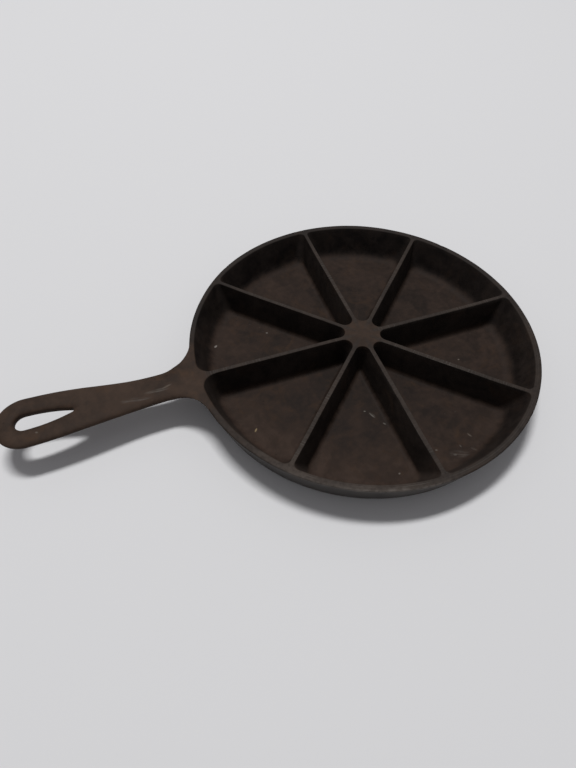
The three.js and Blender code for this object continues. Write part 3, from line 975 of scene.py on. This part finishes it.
def buildHandle():
    waist = handle["waist"] / 2
    grip = handle["gripWidth"] / 2
    flare = handle["flareRadius"]
    tipX = pan["rimRadius"] + handle["reach"]
    gripX = tipX - grip
    flareX = sqrt((pan["rimRadius"] + flare) ** 2 - (waist + flare) ** 2)
    flareEnd = flareX * pan["rimRadius"] / (pan["rimRadius"] + flare)

    big, small = hole["width"] / 2, hole["pointRadius"]
    endX = tipX - hole["tipMargin"]
    startX = endX - hole["length"]
    roundX = endX - big
    sideLength = roundX - startX - small
    toRound, toPoint = hole["sideRadius"] - big, hole["sideRadius"] - small
    sideAlong = (toRound ** 2 - toPoint ** 2 + sideLength ** 2) / (2 * sideLength)
    sideBelow = sqrt(toRound ** 2 - sideAlong ** 2)
    roundAngle = atan2(sideBelow, -sideAlong)
    pointAngle = atan2(sideBelow, sideLength - sideAlong)
    lowerLipDepth = handle["gripThick"] - hole["upperLipDepth"] - hole["throat"]

    def halfWidth(x):
        if x < flareX:
            return waist + flare - sqrt(flare ** 2 - (flareX - max(x, flareEnd)) ** 2)
        if x > gripX:
            return sqrt(max(0.0, grip ** 2 - (x - gripX) ** 2))
        return waist + (grip - waist) * (1 - cos(pi * (x - flareX) / (gripX - flareX))) / 2

    def fromEdge(x, y):
        if x >= gripX:
            return grip - hypot(x - gripX, y)
        if x <= flareX:
            return hypot(x - flareX, waist + flare - abs(y)) - flare
        nudge = handle["nudge"]
        slope = (halfWidth(x + nudge) - halfWidth(x - nudge)) / (2 * nudge)
        return (halfWidth(x) - abs(y)) / sqrt(1 + slope * slope)

    # the throat's outline: a round end, a small point and bowed sides tangent to both
    def holeHalf(x):
        u = roundX - x
        if u < big * cos(roundAngle):
            wide = sqrt(max(0.0, big ** 2 - u ** 2))
        elif u > sideLength + small * cos(pointAngle):
            wide = sqrt(max(0.0, small ** 2 - (u - sideLength) ** 2))
        else:
            wide = sqrt(hole["sideRadius"] ** 2 - (u - sideAlong) ** 2) - sideBelow
        return wide if wide > hole["smallest"] else 0.0

    def fromHole(x, y):
        u, v = roundX - x, abs(y)
        angle = atan2(v + sideBelow, u - sideAlong)
        if angle > roundAngle:
            return hypot(u, v) - big
        if angle < pointAngle:
            return hypot(u - sideLength, v) - small
        return hypot(u - sideAlong, v + sideBelow) - hole["sideRadius"]

    def taper(x, root, gripped):
        return root + (gripped - root) * smooth(flareX - handle["taperLead"], startX, x)

    def crownAt(x):
        ends = zip(handle["rootCrown"], handle["gripCrown"])
        wide, deep = [taper(x, root, gripped) for root, gripped in ends]
        return wide, deep * smooth(*handle["flush"], x)

    def edgeAt(x):
        root = handle["rootEdge"]
        return root + (handle["edge"] - root) * smooth(*handle["flush"], x)

    # top line: leaves the rim level, sags along the waist and runs level again
    def level(x):
        settled = smooth(pan["rimRadius"] - pan["rimWidth"], flareX + flare, x)
        along = min(max((x - pan["rimRadius"]) / handle["sagLength"], 0.0), 1.0)
        sag = (1 - cos(2 * pi * along)) / 2
        return pan["height"] - handle["gripDrop"] * settled - handle["waistSag"] * sag

    def topZ(x, y):
        z = level(x) - roundOver(fromEdge(x, y), *crownAt(x))
        z -= roundOver(fromHole(x, y), hole["upperLipWidth"], hole["upperLipDepth"])
        if hypot(x, y) < pan["rimRadius"] - pan["rimEdge"] - handle["duckFrom"]:
            z -= handle["duck"]
        return z

    def bottomZ(x, y):
        half = halfWidth(x)
        edge = crownAt(x)[1] + edgeAt(x)
        deep = taper(x, handle["rootThick"], handle["gripThick"]) - edge
        if x > gripX:
            deep *= half / grip
        share = min(abs(y) / half, 1.0) if half > 0 else 1.0
        belly = level(x) - edge - deep * (1 - share * share)
        fromWall = max(hypot(x, y) - outerRadius(handle["wallHeight"]), 0.0)
        belly -= roundOver(fromWall, handle["wallFillet"], handle["wallFillet"])
        t = 1 - min(max(fromHole(x, y) / hole["lowerLipWidth"], 0.0), 1.0)
        lip = level(x) - hole["upperLipDepth"] - hole["throat"] - lowerLipDepth * sqrt(1 - t * t)
        if t == 0:
            return belly
        reach, height = hole["lipBlend"]
        blend = max(0.0, 1 - abs(belly - lip) / reach)
        return max(belly, lip) + height * blend * blend

    # stations: root, flare, swell, lip before the hole, hole, lip after it, tip
    n = handleSteps
    flareAngle = asin((flareX - flareEnd) / flare)
    lipStart = startX - hole["upperLipWidth"]
    sideStart = startX + small
    spread = [1 - cos(pi / 2 * i / n["lip"]) for i in range(n["lip"] + 1)]
    stations = [pan["rimRadius"] - inset for inset in handle["rootInset"]]
    stations += [flareX - flare * sin(flareAngle * i / n["flare"]) for i in range(n["flare"], 0, -1)]
    stations += [flareX + (lipStart - flareX) * i / n["swell"] for i in range(n["swell"])]
    stations += [startX - hole["upperLipWidth"] * t for t in spread]
    stations += [startX + small * t for t in spread]
    stations += [sideStart + sideLength * i / n["sides"] for i in range(1, n["sides"] + 1)]
    stations += [endX - big * (1 - cos(pi / 2 * i / n["end"])) for i in range(n["end"])]
    stations += [endX + hole["upperLipWidth"] * t for t in spread]
    stations += [gripX + grip * sin(pi / 2 * i / n["tip"]) for i in range(n["tip"] + 1)]
    stations.sort()
    stations = [x for i, x in enumerate(stations) if i == 0 or x - stations[i - 1] > weld["merge"]]

    # one half of a section: top from the hole outward, side, underside back to the hole
    def halfRing(x):
        half = halfWidth(x)
        inner = min(holeHalf(x), half)
        room = half - inner
        n = sectionSteps
        lip = min(hole["upperLipWidth"], room * sectionShare["lip"])
        crown = min(crownAt(x)[0], room * sectionShare["crown"])
        lowLip = min(hole["lowerLipWidth"], room * sectionShare["lowerLip"])
        ys = [inner + lip * (1 - cos(pi / 2 * i / n["lip"])) for i in range(n["lip"] + 1)]
        ys += [inner + lip + (room - lip - crown) * i / n["flat"] for i in range(1, n["flat"])]
        ys += [half - crown * (1 - sin(pi / 2 * i / n["crown"])) for i in range(n["crown"] + 1)]
        ring = [(y, topZ(x, y)) for y in ys]
        high, low = topZ(x, half), bottomZ(x, half)
        ring += [(half, high + (low - high) * i / n["side"]) for i in range(1, n["side"])]
        bellyTurns = [pi / 2 * i / n["belly"] for i in range(n["belly"] + 1)]
        lipTurns = [pi / 2 * i / n["lowerLip"] for i in range(n["lowerLip"] - 1, -1, -1)]
        ys = [inner + lowLip + (room - lowLip) * cos(a) for a in bellyTurns]
        ys += [inner + lowLip * (1 - cos(a)) for a in lipTurns]
        ring += [(y, bottomZ(x, y)) for y in ys]
        return ring, inner

    points, faces = [], []
    made = [halfRing(x) for x in stations]
    count = len(made[0][0])
    for side in (1, -1):
        first = len(points)
        for x, (ring, inner) in zip(stations, made):
            slim = 1.0
            if side > 0:
                slim -= handle["farFlare"] * smooth(*handle["farFlareEnd"], x) / halfWidth(x)
            points += [(-x, side * slim * y, z) for y, z in ring]
        for i in range(len(stations) - 1):
            a, b = first + i * count, first + (i + 1) * count
            for j in range(count - 1):
                faces.append((a + j, a + j + 1, b + j + 1, b + j))
            if max(made[i][1], made[i + 1][1]) > 0:  # throat of the hanging hole
                faces.append((a + count - 1, a, b, b + count - 1))
        faces.append(tuple(first + j for j in range(count)))
    return addPiece("handle", "handle", points, faces, materials["handleIron"], creases=60)


buildFloor()
buildWall()
buildHub()
for number in range(1, pocket["count"] + 1):
    buildDivider(number)
buildHandle()

table = {"color": (0.80, 0.80, 0.81, 1), "roughness": 0.85, "size": 6.0, "drop": 0.0002}  # metres


def buildTable():
    mesh = bpy.data.meshes.new("table")
    half = table["size"] / 2
    corners = [(-half, -half, 0), (half, -half, 0), (half, half, 0), (-half, half, 0)]
    mesh.from_pydata(corners, [], [(0, 1, 2, 3)])
    floor = bpy.data.objects.new("table", mesh)
    floor.location.z = -table["drop"]
    scene.collection.objects.link(floor)
    material = bpy.data.materials.new("paleTable")
    material.use_nodes = True
    tree = material.node_tree
    shader = tree.nodes["Principled BSDF"]
    shader.inputs["Roughness"].default_value = table["roughness"]
    shader.inputs["Base Color"].default_value = table["color"]
    mesh.materials.append(material)


buildTable()
print("table set")

light = {
    "key": {"toward": (0.01, 0.29, 1.0), "distance": 4.0, "width": 1.3, "depth": 0.5, "power": 104.0},
    "target": (0, 0, 0.02),
    "world": (0.205, 0.203, 0.210),
}


def aim(obj, target, roll=0.0):
    away = Vector(target) - obj.location
    turnTo = away.to_track_quat("-Z", "Y").to_matrix().to_4x4()
    obj.matrix_world = Matrix.Translation(obj.location) @ turnTo @ Matrix.Rotation(roll, 4, "Z")


def buildLights():
    key = light["key"]
    lamp = bpy.data.lights.new("softbox", "AREA")
    lamp.shape = "RECTANGLE"
    lamp.size = key["width"]
    lamp.size_y = key["depth"]
    lamp.energy = key["power"]
    softbox = bpy.data.objects.new("softbox", lamp)
    scene.collection.objects.link(softbox)
    softbox.location = Vector(key["toward"]).normalized() * key["distance"]
    aim(softbox, light["target"])
    world = bpy.data.worlds.new("room")
    world.use_nodes = True
    back = world.node_tree.nodes["Background"]
    back.inputs["Color"].default_value = (*light["world"], 1)
    back.inputs["Strength"].default_value = 1.0
    scene.world = world


buildLights()
print("lights set")

view = {
    "location": (-0.13087, -0.21347, 0.29033),
    "target": (-0.05576, -0.00708, -0.00013),
    "roll": radians(0.993),
    "lens": 24.845,
    "sensor": 36.0,
    "clipStart": 0.01,
}

camera = bpy.data.objects.new("camera", bpy.data.cameras.new("camera"))
camera.data.lens = view["lens"]
camera.data.sensor_width = view["sensor"]
camera.data.clip_start = view["clipStart"]
camera.location = view["location"]
scene.collection.objects.link(camera)
aim(camera, view["target"], view["roll"])
scene.camera = camera
print("camera set")
